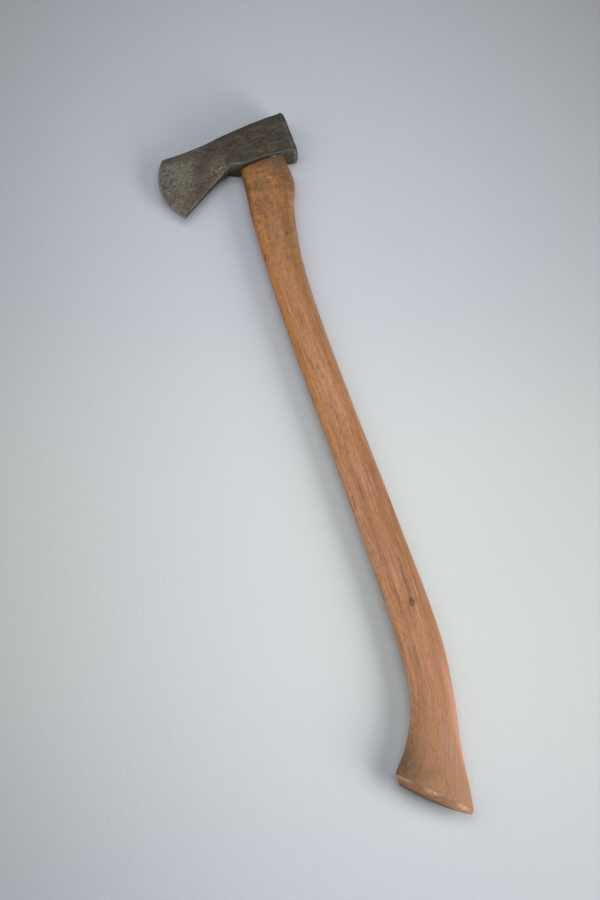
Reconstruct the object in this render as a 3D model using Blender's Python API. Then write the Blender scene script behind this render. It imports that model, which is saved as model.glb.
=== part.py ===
"""A single-bit axe lying on its cheek.

The forged head carries an inlaid steel bit. The haft's tongue goes up through the head's eye and is
spread there by a wooden wedge, with two steel wedges driven across it.

Units are metres. The drawing frame has its origin in the middle of the eye's mouth, on the centre
plane: +X runs from the cutting edge to the poll, +Y up through the eye and +Z out of the upper cheek.
The finished axe lies on z = 0, with the middle of its box over the world's origin.
"""

from math import asin, atan2, copysign, cos, degrees, pi, radians, sin

import bmesh
import bpy
from mathutils import Vector

# Fits between pieces
EYE_FIT = 0.0003  # round the tongue in the eye
SEAT_FIT = 0.0003  # between the haft's shoulder and the head
WEDGE_FIT = 0.0003  # beside every wedge
WELD_FIT = 0.0003  # between the steel bit and the head

# Eye
EYE_LENGTH = 0.0400
EYE_WIDTH = 0.0160
EYE_SQUARENESS = 2.4  # exponent of the oval: 2 is an ellipse

# Walls round the eye
CHEEK_WALL = 0.0040
POLL_WALL = 0.0129
FRONT_WALL = 0.0080

# Poll
POLL_HEIGHT = 0.0407  # top of the butt above the eye's mouth
BUTT_DROP = 0.0008  # foot of the butt below the eye's front wall
BUTT_LEAN = 0.0037  # how far the butt's top leans towards the bit
BUTT_CHAMFER = 0.0025
CHEEK_CHAMFER = 0.0016

# Top line of the head
BROW_REACH = 0.0045  # behind the eye's centre
BROW_HEIGHT = 0.0376
DIP_REACH = 0.0420  # ahead of the eye's centre
DIP_HEIGHT = 0.0294

# Cutting edge and beard
TOE_REACH = 0.0846
TOE_RISE = 0.0268
HEEL_REACH = 0.0776
HEEL_DROP = 0.0330
EDGE_BULGE = 0.0114  # how far the edge's arc stands ahead of its chord
EDGE_LAND = 0.0006  # thickness left at the cutting edge
GRIND_DEPTH = 0.0080
GRIND_THICKNESS = 0.0050
BLADE_CHAMFER_SHARE = 0.4  # most of the blade's half thickness that its chamfers may take
CHEEK_HOLLOW = 1.4  # exponent of the flare from the grind to the cheek: 1 is a straight wedge
BEARD_BEND_REACH = 0.0465
BEARD_BEND_DROP = 0.0078

# Steel bit let into the head
STEEL_DEPTH_TOE = 0.0325  # behind the toe, along the top
STEEL_DEPTH_HEEL = 0.0080  # behind the heel
SCARF_DEPTH = 0.0080  # how far the steel's root reaches in between the lips
SCARF_SPREAD = 0.0100  # thickness of that root at the lips

# Haft: a station lies below the shoulder or above the knob, and has a set towards the poll, a width
# and a thickness
HAFT_LENGTH = 0.5513  # from the shoulder to the middle of the knob's rim
SHOULDER_LEDGE_END = 0.0005  # how far the shoulder stands out past the tongue, at its ends
SHOULDER_LEDGE_SIDE = 0.0026
SWELL_DROP = 0.0230
SWELL_SET = 0.0014
SWELL_WIDTH = 0.0434
SWELL_THICKNESS = 0.0222
SHANK_DROP = 0.0455
SHANK_SET = -0.0023
SHANK_WIDTH = 0.0386
SHANK_THICKNESS = 0.0220
NECK_DROP = 0.0955
NECK_SET = -0.0042
NECK_WIDTH = 0.0319
NECK_THICKNESS = 0.0212
WAIST_DROP = 0.1655
WAIST_SET = -0.0010
WAIST_WIDTH = 0.0306
WAIST_THICKNESS = 0.0206
BELLY_RISE = 0.2208
BELLY_SET = 0.0130
BELLY_WIDTH = 0.0324
BELLY_THICKNESS = 0.0212
GRIP_RISE = 0.1158
GRIP_SET = 0.0201
GRIP_WIDTH = 0.0347
GRIP_THICKNESS = 0.0220
WRIST_RISE = 0.0658
WRIST_SET = 0.0166
WRIST_WIDTH = 0.0354
WRIST_THICKNESS = 0.0224
WRIST_TILT = 4.0  # degrees that a section leans, its bit side up
FLARE_RISE = 0.0308
FLARE_SET = 0.0071
FLARE_WIDTH = 0.0449
FLARE_THICKNESS = 0.0234
FLARE_TILT = 18.0
KNOB_SET = -0.0014
KNOB_WIDTH = 0.0648
KNOB_TILT = 39.2
KNOB_TAPER = 0.35  # share of the knob's thickness lost from the heel to the toe
END_CHAMFER = 0.0052  # from the knob's rim down to its end face
END_INSET = 0.0022  # how far the end face stands in from the rim at heel and toe
END_INSET_SIDE = 0.0065
END_TURN = 2.8  # degrees that the end face leans less than the rim
END_BOW = 0.0025  # how far the end face is crowned between heel and toe
HAFT_SQUARENESS = 2.4

# Wedges
TONGUE_PROUD = 0.0008  # how far the tongue and wedges stand above the head
KERF_DEPTH = 0.0260
KERF_FOOT = 0.0010  # thickness of the wooden wedge at its foot
KERF_SPREAD = 0.0044  # thickness of the wooden wedge at the top of the eye
KERF_SPARE = 0.0020  # kerf left empty under the wedge
WEDGE_END_WALL = 0.0026  # from the wooden wedge's end to the end of the tongue
CROSS_OFFSET = 0.0090  # from the eye's centre to each steel wedge
CROSS_DEPTH = 0.0160
CROSS_FOOT = 0.0008
CROSS_SPREAD = 0.0030
CROSS_SIDE_WALL = 0.0018  # wood left beside a steel wedge

# Facets
CHEEK_COLUMNS = 10
BLADE_STATIONS = 9
POLL_STATIONS = 4
OVAL_SIDES = 28
RINGS_PER_SPAN = 7

HEAD_THICKNESS = EYE_WIDTH + 2 * CHEEK_WALL
KNOB_THICKNESS = HEAD_THICKNESS  # so that the axe lies level on its cheek and its knob
BUTT_REACH = EYE_LENGTH / 2 + POLL_WALL
THROAT_REACH = EYE_LENGTH / 2 + FRONT_WALL
UNDERSIDE_RUN = THROAT_REACH + BUTT_REACH - BUTT_CHAMFER
TONGUE_LENGTH = EYE_LENGTH - 2 * EYE_FIT
TONGUE_WIDTH = EYE_WIDTH - 2 * EYE_FIT

TOE = Vector((-TOE_REACH, TOE_RISE))
HEEL = Vector((-HEEL_REACH, -HEEL_DROP))
BUTT_FOOT = Vector((BUTT_REACH, -BUTT_DROP))
BUTT_TOP = Vector((BUTT_REACH - BUTT_LEAN, POLL_HEIGHT))
THROAT = Vector((-THROAT_REACH, 0))
BEARD_BEND = Vector((-BEARD_BEND_REACH, -BEARD_BEND_DROP))


def smooth(points, at):
    """A value at a place along a smooth curve through (place, value) points, in rising order."""

    def slope(i):
        low, high = max(i - 1, 0), min(i + 1, len(points) - 1)
        return (points[high][1] - points[low][1]) / (points[high][0] - points[low][0])

    i = 0
    while i < len(points) - 2 and at > points[i + 1][0]:
        i += 1
    (x0, y0), (x1, y1) = points[i], points[i + 1]
    span = x1 - x0
    t = (at - x0) / span
    rise = t * t * (3 - 2 * t)
    start = t * (1 - t) ** 2 * span * slope(i)
    end = -t * t * (1 - t) * span * slope(i + 1)
    return y0 + (y1 - y0) * rise + start + end


def underside(x):
    """Height of the head's underside round the eye's mouth."""
    return -BUTT_DROP * (x + THROAT_REACH) / UNDERSIDE_RUN


def head_top(x):
    """Height of the head's top line above the eye's mouth."""
    line = (TOE, (-DIP_REACH, DIP_HEIGHT), (BROW_REACH, BROW_HEIGHT), BUTT_TOP)
    return smooth(line, x)


def crest(x):
    """Height at which the tongue and the wedges are trimmed."""
    return head_top(x) + TONGUE_PROUD


def oval(length, width, squareness, sides=OVAL_SIDES):
    """Points round an oval: (along the length, along the width)."""
    points = []
    for k in range(sides):
        c, s = cos(2 * pi * k / sides), sin(2 * pi * k / sides)
        along = copysign(abs(c) ** (2 / squareness), c) * length / 2
        across = copysign(abs(s) ** (2 / squareness), s) * width / 2
        points.append((along, across))
    return points


def oval_half_width(length, width, squareness, at):
    """Half the width of an oval at a distance from its middle."""
    return width / 2 * (1 - abs(2 * at / length) ** squareness) ** (1 / squareness)


def skin(mesh, rings):
    """Joins rings of equal length with quads, and returns the rings' vertices."""
    loops = [[mesh.verts.new(point) for point in ring] for ring in rings]
    for first, second in zip(loops, loops[1:]):
        for k in range(len(first)):
            after = (k + 1) % len(first)
            mesh.faces.new((first[k], first[after], second[after], second[k]))
    return loops


def close_ruled(mesh, loop, mirror):
    """Fills a ring that is its own mirror image, where point k lies across from point mirror - k."""
    for k in range(len(loop) // 2):
        corners = [loop[i % len(loop)] for i in (k, k + 1, mirror - k - 1, mirror - k)]
        corners = list(dict.fromkeys(corners))
        if len(corners) > 2:
            mesh.faces.new(corners)


def finish(mesh, name, material, sharp_angle=35):
    """Turns a bmesh into a named object under the axe, with smooth round stretches."""
    bmesh.ops.recalc_face_normals(mesh, faces=mesh.faces)
    data = bpy.data.meshes.new(name)
    mesh.to_mesh(data)
    mesh.free()
    data.shade_smooth()
    data.set_sharp_from_angle(angle=radians(sharp_angle))
    if material:
        data.materials.append(material)
    piece = bpy.data.objects.new(name, data)
    bpy.context.scene.collection.objects.link(piece)
    piece.parent = axe
    return piece


def prism(name, foot, head, material=None):
    """A solid between two outlines of equal length."""
    mesh = bmesh.new()
    loops = skin(mesh, (foot, head))
    for loop in loops:
        mesh.faces.new(loop)
    return finish(mesh, name, material)


def cutter(name, foot, head):
    piece = prism(name, foot, head)
    piece.hide_render = True
    piece.display_type = "WIRE"
    return piece


def cut(piece, tool, operation="DIFFERENCE"):
    modifier = piece.modifiers.new(tool.name, "BOOLEAN")
    modifier.operation = operation
    modifier.solver = "EXACT"
    modifier.object = tool


def principled(name, colour, roughness, metallic):
    material = bpy.data.materials.new(name)
    material.use_nodes = True
    shader = material.node_tree.nodes["Principled BSDF"]
    shader.inputs["Base Color"].default_value = (*colour, 1)
    shader.inputs["Roughness"].default_value = roughness
    shader.inputs["Metallic"].default_value = metallic
    return material


def section(foot, top, half, chamfer, bow=lambda v: Vector((0, 0))):
    """One ring across the head, from its underside to its top, mirrored about the centre plane."""
    inset = chamfer / (top - foot).length
    rows = [(0, half - chamfer)]
    for k in range(CHEEK_COLUMNS + 1):
        rows.append((inset + (1 - 2 * inset) * k / CHEEK_COLUMNS, half))
    rows.append((1, half - chamfer))
    upper, lower = [], []
    for v, z in rows:
        x, y = foot.lerp(top, v) + bow(v)
        upper.append((x, y, z))
        lower.append((x, y, -z))
    return upper + lower[::-1]


def edge_bow(v):
    """From the chord between heel and toe out to the edge's arc."""
    chord = TOE - HEEL
    radius = (chord.length_squared / 4 + EDGE_BULGE**2) / (2 * EDGE_BULGE)
    half_angle = asin(chord.length / 2 / radius)
    along = chord.normalized()
    ahead = Vector((-along.y, along.x))
    angle = (2 * v - 1) * half_angle
    on_arc = along * (radius * sin(angle) - (v - 0.5) * chord.length)
    return on_arc + ahead * (radius * cos(angle) - radius + EDGE_BULGE)


def blade_half_thickness(s):
    """Half the blade's thickness at a share of its length behind the edge."""
    grind = GRIND_DEPTH / (TOE_REACH + EDGE_BULGE - THROAT_REACH)
    if s < grind:
        return (EDGE_LAND + (GRIND_THICKNESS - EDGE_LAND) * s / grind) / 2
    flare = ((s - grind) / (1 - grind)) ** CHEEK_HOLLOW
    return (GRIND_THICKNESS + (HEAD_THICKNESS - GRIND_THICKNESS) * flare) / 2


def blade_ring(s):
    """Ring at a share of the way from the cutting edge to the eye's front wall."""
    foot = HEEL.lerp(BEARD_BEND, s).lerp(BEARD_BEND.lerp(THROAT, s), s)
    x = -TOE_REACH + (TOE_REACH - THROAT_REACH) * s
    half = blade_half_thickness(s)
    chamfer = min(CHEEK_CHAMFER, BLADE_CHAMFER_SHARE * half)
    return section(foot, Vector((x, head_top(x))), half, chamfer, lambda v: edge_bow(v) * (1 - s) ** 2)


def poll_ring(s):
    """Ring at a share of the way from the eye's front wall to the start of the butt's chamfer."""
    foot = THROAT + Vector((UNDERSIDE_RUN, -BUTT_DROP)) * s
    x = -THROAT_REACH + (BUTT_TOP.x - BUTT_CHAMFER + THROAT_REACH) * s
    return section(foot, Vector((x, head_top(x))), HEAD_THICKNESS / 2, CHEEK_CHAMFER)


def butt_ring():
    rise = (BUTT_TOP - BUTT_FOOT).normalized() * BUTT_CHAMFER
    return section(BUTT_FOOT + rise, BUTT_TOP - rise, HEAD_THICKNESS / 2 - BUTT_CHAMFER, CHEEK_CHAMFER)


def head_blank(name, material):
    """The whole forged head, before the eye is punched and the bit is let in."""
    grind = GRIND_DEPTH / (TOE_REACH + EDGE_BULGE - THROAT_REACH)
    rings = [blade_ring(0)]
    for k in range(BLADE_STATIONS):
        rings.append(blade_ring(grind + (1 - grind) * k / BLADE_STATIONS))
    for k in range(POLL_STATIONS + 1):
        rings.append(poll_ring(k / POLL_STATIONS))
    rings.append(butt_ring())
    mesh = bmesh.new()
    loops = skin(mesh, rings)
    close_ruled(mesh, loops[0], -1)
    mesh.faces.new(loops[-1])
    return finish(mesh, name, material)


def scarf(name, gap):
    """Cutter that holds everything ahead of the weld: a V whose point lies on the centre plane."""
    far = HEAD_THICKNESS
    shift = gap / sin(atan2(SCARF_SPREAD / 2, SCARF_DEPTH))
    toe_weld = TOE + Vector((STEEL_DEPTH_TOE, 0))
    heel_weld = HEEL + Vector((STEEL_DEPTH_HEEL, 0))
    along = toe_weld - heel_weld

    def outline(middle):
        back = middle.x + shift
        flank = back + SCARF_DEPTH * (1 - 2 * far / SCARF_SPREAD)
        front = -2 * TOE_REACH
        vee = ((front, -far), (flank, -far), (back + SCARF_DEPTH, 0), (flank, far), (front, far))
        return [(x, middle.y, z) for x, z in vee]

    return cutter(name, outline(heel_weld - along), outline(toe_weld + along))


def eye_cutter():
    outline = oval(EYE_LENGTH, EYE_WIDTH, EYE_SQUARENESS)
    foot = [(x, -POLL_HEIGHT, z) for x, z in outline]
    top = [(x, 2 * POLL_HEIGHT, z) for x, z in outline]
    return cutter("eye_cutter", foot, top)


def haft_stations():
    """(drop, set, width, thickness, tilt) down the haft, from the shoulder to the knob's rim."""
    seat_tilt = degrees(atan2(BUTT_DROP, UNDERSIDE_RUN))
    shoulder_width = TONGUE_LENGTH + 2 * SHOULDER_LEDGE_END
    shoulder_thickness = TONGUE_WIDTH + 2 * SHOULDER_LEDGE_SIDE
    shoulder = SEAT_FIT - underside(0)
    knob = shoulder + HAFT_LENGTH
    return (
        (shoulder, 0, shoulder_width, shoulder_thickness, seat_tilt),
        (shoulder + SWELL_DROP, SWELL_SET, SWELL_WIDTH, SWELL_THICKNESS, 0),
        (shoulder + SHANK_DROP, SHANK_SET, SHANK_WIDTH, SHANK_THICKNESS, 0),
        (shoulder + NECK_DROP, NECK_SET, NECK_WIDTH, NECK_THICKNESS, 0),
        (shoulder + WAIST_DROP, WAIST_SET, WAIST_WIDTH, WAIST_THICKNESS, 0),
        (knob - BELLY_RISE, BELLY_SET, BELLY_WIDTH, BELLY_THICKNESS, 0),
        (knob - GRIP_RISE, GRIP_SET, GRIP_WIDTH, GRIP_THICKNESS, 0),
        (knob - WRIST_RISE, WRIST_SET, WRIST_WIDTH, WRIST_THICKNESS, WRIST_TILT),
        (knob - FLARE_RISE, FLARE_SET, FLARE_WIDTH, FLARE_THICKNESS, FLARE_TILT),
        (knob, KNOB_SET, KNOB_WIDTH, KNOB_THICKNESS, KNOB_TILT),
    )


def haft_ring(drop, offset, width, thickness, tilt, taper=0, bow=0):
    """An oval section of the haft: it leans by its tilt, thins towards the toe and bows downwards."""
    lean = radians(tilt)
    ring = []
    for along, z in oval(width, thickness, HAFT_SQUARENESS):
        share = 2 * along / width
        down = bow * (1 - share**2)
        x = offset + along * cos(lean) - down * sin(lean)
        y = -drop - along * sin(lean) - down * cos(lean)
        ring.append((x, y, z * (1 - taper * max(0, share) ** 2)))
    return ring


def haft_rings():
    stations = haft_stations()
    rings = []
    for upper, lower in zip(stations, stations[1:]):
        for k in range(RINGS_PER_SPAN):
            drop = upper[0] + (lower[0] - upper[0]) * k / RINGS_PER_SPAN
            values = [smooth([(row[0], row[i]) for row in stations], drop) for i in range(1, 5)]
            taper = KNOB_TAPER * max(0, values[3]) / KNOB_TILT
            rings.append(haft_ring(drop, *values, taper))
    drop, *knob = stations[-1]
    rings.append(haft_ring(drop, *knob, KNOB_TAPER))
    width = KNOB_WIDTH - 2 * END_INSET
    thickness = KNOB_THICKNESS - 2 * END_INSET_SIDE
    tilt = KNOB_TILT - END_TURN
    rings.append(haft_ring(drop + END_CHAMFER, KNOB_SET, width, thickness, tilt, KNOB_TAPER, END_BOW))
    return rings


def kerf_half(y):
    """Half the wooden wedge's thickness at a height, wider towards the top of the eye."""
    foot = crest(0) - KERF_DEPTH + KERF_SPARE
    return (KERF_FOOT + (KERF_SPREAD - KERF_FOOT) * (y - foot) / (crest(0) - foot)) / 2


def kerf_outline(x, foot, top, grow):
    return [
        (x, foot, -kerf_half(foot) - grow),
        (x, foot, kerf_half(foot) + grow),
        (x, top, kerf_half(top) + grow),
        (x, top, -kerf_half(top) - grow),
    ]


def cross_outline(y, depth, grow):
    """Section of a steel wedge at a depth below its top, at height y in its own frame."""
    side = oval_half_width(TONGUE_LENGTH, TONGUE_WIDTH, EYE_SQUARENESS, CROSS_OFFSET) - CROSS_SIDE_WALL
    half = (CROSS_SPREAD + (CROSS_FOOT - CROSS_SPREAD) * depth / CROSS_DEPTH) / 2
    return [
        (-half - grow, y, -side - grow),
        (half + grow, y, -side - grow),
        (half + grow, y, side + grow),
        (-half - grow, y, side + grow),
    ]


def make_head():
    body = head_blank("head_body", principled("forged_iron", (0.071, 0.058, 0.045), 0.55, 0.85))
    bit = head_blank("steel_bit", principled("bit_steel", (0.141, 0.136, 0.114), 0.42, 0.9))
    cut(body, scarf("body_scarf", WELD_FIT), "DIFFERENCE")
    cut(body, eye_cutter())
    cut(bit, scarf("bit_scarf", 0), "INTERSECT")


def make_haft():
    rings = haft_rings()
    tongue = oval(TONGUE_LENGTH, TONGUE_WIDTH, EYE_SQUARENESS)
    seat = [(x, underside(x) - SEAT_FIT, z) for x, z in tongue]
    top = [(x, crest(x), z) for x, z in tongue]
    mesh = bmesh.new()
    loops = skin(mesh, [top, seat] + rings)
    close_ruled(mesh, loops[0], 0)
    close_ruled(mesh, loops[-1], 0)
    return finish(mesh, "haft", principled("oiled_wood", (0.456, 0.188, 0.080), 0.5, 0))


def make_wedges(haft):
    above = POLL_HEIGHT
    kerf_foot = crest(0) - KERF_DEPTH
    kerf = [kerf_outline(x, kerf_foot, crest(0) + above, WEDGE_FIT) for x in (-EYE_LENGTH, EYE_LENGTH)]
    cut(haft, cutter("kerf_cutter", *kerf))

    reach = TONGUE_LENGTH / 2 - WEDGE_END_WALL
    ends = [kerf_outline(x, kerf_foot + KERF_SPARE, crest(x), 0) for x in (-reach, reach)]
    wood = prism("kerf_wedge", *ends, principled("wedge_wood", (0.52, 0.33, 0.17), 0.6, 0))

    steel = principled("wedge_steel", (0.12, 0.11, 0.10), 0.5, 0.9)
    slope = (CROSS_SPREAD - CROSS_FOOT) / CROSS_DEPTH
    for name, x in (("cross_wedge_front", -CROSS_OFFSET), ("cross_wedge_rear", CROSS_OFFSET)):
        place = (x, crest(x), 0)
        wedge = prism(name, cross_outline(-CROSS_DEPTH, CROSS_DEPTH, 0), cross_outline(0, 0, 0), steel)
        wedge.location = place
        floor = CROSS_DEPTH + WEDGE_FIT
        slot = cutter(
            name + "_slot",
            cross_outline(-floor, floor, WEDGE_FIT),
            cross_outline(above, -above, WEDGE_FIT),
        )
        slot.location = place
        cut(haft, slot)
        cut(wood, slot)


def lay_down():
    """Lays the axe on z = 0, with the middle of its box over the origin."""
    bpy.context.view_layer.update()
    graph = bpy.context.evaluated_depsgraph_get()
    corners = []
    for piece in axe.children:
        if not piece.hide_render:
            evaluated = piece.evaluated_get(graph)
            corners += [evaluated.matrix_world @ Vector(corner) for corner in evaluated.bound_box]
    low = [min(corner[i] for corner in corners) for i in range(3)]
    high = [max(corner[i] for corner in corners) for i in range(3)]
    axe.location = (-(low[0] + high[0]) / 2, -(low[1] + high[1]) / 2, -low[2])


for old in list(bpy.data.objects):
    bpy.data.objects.remove(old)

axe = bpy.data.objects.new("axe", None)
bpy.context.scene.collection.objects.link(axe)

make_head()
make_wedges(make_haft())
lay_down()
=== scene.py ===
from math import asin, atan, cos, radians, sin

import bmesh
import bpy
from mathutils import Matrix, Vector, kdtree, noise


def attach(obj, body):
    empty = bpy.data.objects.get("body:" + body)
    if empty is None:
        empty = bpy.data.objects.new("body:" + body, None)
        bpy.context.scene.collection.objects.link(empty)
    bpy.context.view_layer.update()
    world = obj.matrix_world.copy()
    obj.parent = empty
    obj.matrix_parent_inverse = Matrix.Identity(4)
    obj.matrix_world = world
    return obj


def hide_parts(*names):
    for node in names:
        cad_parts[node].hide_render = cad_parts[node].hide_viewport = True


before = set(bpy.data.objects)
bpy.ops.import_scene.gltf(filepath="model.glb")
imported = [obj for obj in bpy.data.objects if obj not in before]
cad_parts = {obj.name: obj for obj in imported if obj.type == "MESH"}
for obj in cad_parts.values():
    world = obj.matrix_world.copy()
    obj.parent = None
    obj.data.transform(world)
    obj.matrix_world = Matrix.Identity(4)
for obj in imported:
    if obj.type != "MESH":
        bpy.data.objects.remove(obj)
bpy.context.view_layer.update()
print("frame loaded:", ", ".join(sorted(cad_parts)))

scene = bpy.context.scene
scene.view_settings.view_transform = "Standard"

# Places are metres from the middle of the eye's mouth:
# x to the poll, y up through the eye, z out of the upper cheek
eyeMouth = Vector((0.02759, 0.26736, 0.012))


# Curves and colours

def through(points, at):  # smooth curve through (place, value) points, in rising order
    def slope(i):
        low, high = max(i - 1, 0), min(i + 1, len(points) - 1)
        return (points[high][1] - points[low][1]) / (points[high][0] - points[low][0])

    i = 0
    while i < len(points) - 2 and at > points[i + 1][0]:
        i += 1
    (x0, y0), (x1, y1) = points[i], points[i + 1]
    span = x1 - x0
    t = (at - x0) / span
    smooth = t * t * (3 - 2 * t)
    return y0 + (y1 - y0) * smooth + span * t * (1 - t) * ((1 - t) * slope(i) - t * slope(i + 1))


def mixed(a, b, t):  # tuples of any length
    return tuple(p + (q - p) * t for p, q in zip(a, b))


def eased(a, b, c, t):  # a corner at b, rounded from a to c
    return mixed(mixed(a, b, t), mixed(b, c, t), t)


def tone(red, green, blue):  # a colour as it looks, 0 to 255, made linear
    shares = [part / 255 for part in (red, green, blue)]
    return (*(s / 12.92 if s <= 0.04045 else ((s + 0.055) / 1.055) ** 2.4 for s in shares), 1)


# Short forms for nodes: values are sockets, which are linked, or constants

def feed(value, socket):
    if isinstance(value, bpy.types.NodeSocket):
        socket.id_data.links.new(value, socket)
    else:
        socket.default_value = value


def addNode(tree, kind, *values, **settings):
    node = tree.nodes.new(kind)
    for name, value in settings.items():
        setattr(node, name, value)
    for socket, value in zip(node.inputs, values):
        feed(value, socket)
    return node


def joined(kind, operation, values):  # in the tree that the values come from
    tree = next(value.id_data for value in values if isinstance(value, bpy.types.NodeSocket))
    return addNode(tree, kind, *values, operation=operation)


def calc(operation, *values):
    return joined("ShaderNodeMath", operation, values).outputs[0]


def times(first, *others):
    for other in others:
        first = calc("MULTIPLY", first, other)
    return first


def vector(operation, *values):
    return joined("ShaderNodeVectorMath", operation, values).outputs[0]


def measure(operation, *values):  # a number from vectors
    return joined("ShaderNodeVectorMath", operation, values).outputs["Value"]


def step(value, low, high, start=0.0, end=1.0):  # eased from start at low to end at high
    values = (value, low, high, start, end)
    return addNode(value.id_data, "ShaderNodeMapRange", *values, interpolation_type="SMOOTHSTEP").outputs[0]


def cloud(place, stretch, detail=3.0, roughness=0.55, distortion=0.0):  # noise, about 0.5 on average
    node = addNode(place.id_data, "ShaderNodeTexNoise", vector("MULTIPLY", place, stretch))
    settings = {"Scale": 1, "Detail": detail, "Roughness": roughness, "Distortion": distortion}
    for name, value in settings.items():
        node.inputs[name].default_value = value
    return node.outputs["Fac"]


def clouds(place, settings):
    return {name: cloud(place, *values) for name, values in settings.items()}


def blend(factor, under, over, mode="MIX"):
    node = addNode(factor.id_data, "ShaderNodeMix", factor, data_type="RGBA", blend_type=mode)
    feed(under, node.inputs[6])
    feed(over, node.inputs[7])
    return node.outputs[2]


def ramp(factor, stops):  # (value, tone) in rising order
    node = addNode(factor.id_data, "ShaderNodeValToRGB", factor)
    points = node.color_ramp.elements
    while len(points) < len(stops):
        points.new(1)
    for point, (place, shade) in zip(points, stops):
        point.position = place
        point.color = tone(*shade)
    return node.outputs["Color"]


def attribute(tree, name, output="Fac"):
    return addNode(tree, "ShaderNodeAttribute", attribute_name=name).outputs[output]


def metres(millimetres):
    return tuple(value / 1000 for value in millimetres)


def spot(place, centre, reach, soft):  # 1 inside an ellipsoid, eased to 0 round its rim; in millimetres
    offset = vector("DIVIDE", vector("SUBTRACT", place, metres(centre)), metres(reach))
    return step(measure("LENGTH", offset), 1 - soft, 1 + soft, 1.0, 0.0)


def paintMarks(colour, place, marks, mask, soft=0.6):  # soft spots of tone, broken up by the mask
    for centre, reach, strength, shade in marks:
        colour = blend(times(spot(place, centre, reach, soft), mask, strength), colour, tone(*shade))
    return colour


def paintLayers(colour, fields, layers):  # tone, then its shares: a number, a field or an eased field
    def share(item):
        return step(fields[item[0]], *item[1:]) if isinstance(item, tuple) else fields.get(item, item)

    for shade, *items in layers:
        colour = blend(times(*(share(item) for item in items)), colour, tone(*shade))
    return colour


def newMaterial(name):
    material = bpy.data.materials.new(name)
    material.use_nodes = True
    return material, material.node_tree, material.node_tree.nodes["Principled BSDF"]


def eyePlace(tree):  # object coordinates, measured from the eye's mouth
    coordinates = addNode(tree, "ShaderNodeTexCoord").outputs["Object"]
    return vector("SUBTRACT", coordinates, tuple(eyeMouth))


def addBump(shader, height, distance):
    node = addNode(height.id_data, "ShaderNodeBump")
    node.inputs["Distance"].default_value = distance
    feed(height, node.inputs["Height"])
    feed(node.outputs[0], shader.inputs["Normal"])


# Short forms for meshes

def meshObject(name, data):
    piece = bpy.data.objects.new(name, data)
    scene.collection.objects.link(piece)
    return piece


def bmeshObject(name, mesh):
    bmesh.ops.recalc_face_normals(mesh, faces=mesh.faces)
    data = bpy.data.meshes.new(name)
    mesh.to_mesh(data)
    mesh.free()
    return meshObject(name, data)


def skin(mesh, rings):  # quads between rings of equal length
    loops = [[mesh.verts.new(point) for point in ring] for ring in rings]
    for first, second in zip(loops, loops[1:]):
        for k in range(len(first)):
            after = (k + 1) % len(first)
            mesh.faces.new((first[k], first[after], second[after], second[k]))
    return loops


def prism(name, foot, top):
    mesh = bmesh.new()
    for loop in skin(mesh, (foot, top)):
        mesh.faces.new(loop)
    return bmeshObject(name, mesh)


def plainMesh(piece):  # the evaluated shape, with no modifier left
    graph = bpy.context.evaluated_depsgraph_get()
    data = bpy.data.meshes.new_from_object(piece.evaluated_get(graph))
    piece.modifiers.clear()
    piece.data = data
    return piece


def cut(piece, *cuts):
    for operation, tool in cuts:
        modifier = piece.modifiers.new(tool.name, "BOOLEAN")
        modifier.operation = operation
        modifier.solver = "EXACT"
        modifier.object = tool
    return plainMesh(piece)


def discard(*objects):
    for old in objects:
        bpy.data.objects.remove(old)


def setAttribute(piece, name, kind, values):
    layer = piece.data.attributes.new(name, kind, "POINT")
    layer.data.foreach_set("value" if kind == "FLOAT" else "vector", values)


def settle(piece, sharp, material, slot, *nodes):  # into the frame, shaded, in place of its nodes
    piece.data.transform(Matrix.Translation(eyeMouth))
    piece.data.shade_smooth()
    piece.data.set_sharp_from_angle(angle=radians(sharp))
    piece.data.materials.clear()
    piece.data.materials.append(material)
    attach(piece, "root")
    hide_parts(*nodes)
    print(piece.name, len(piece.data.polygons), "faces")


# Head: one forged blank, punched for the eye and parted along the weld into body and bit

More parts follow.
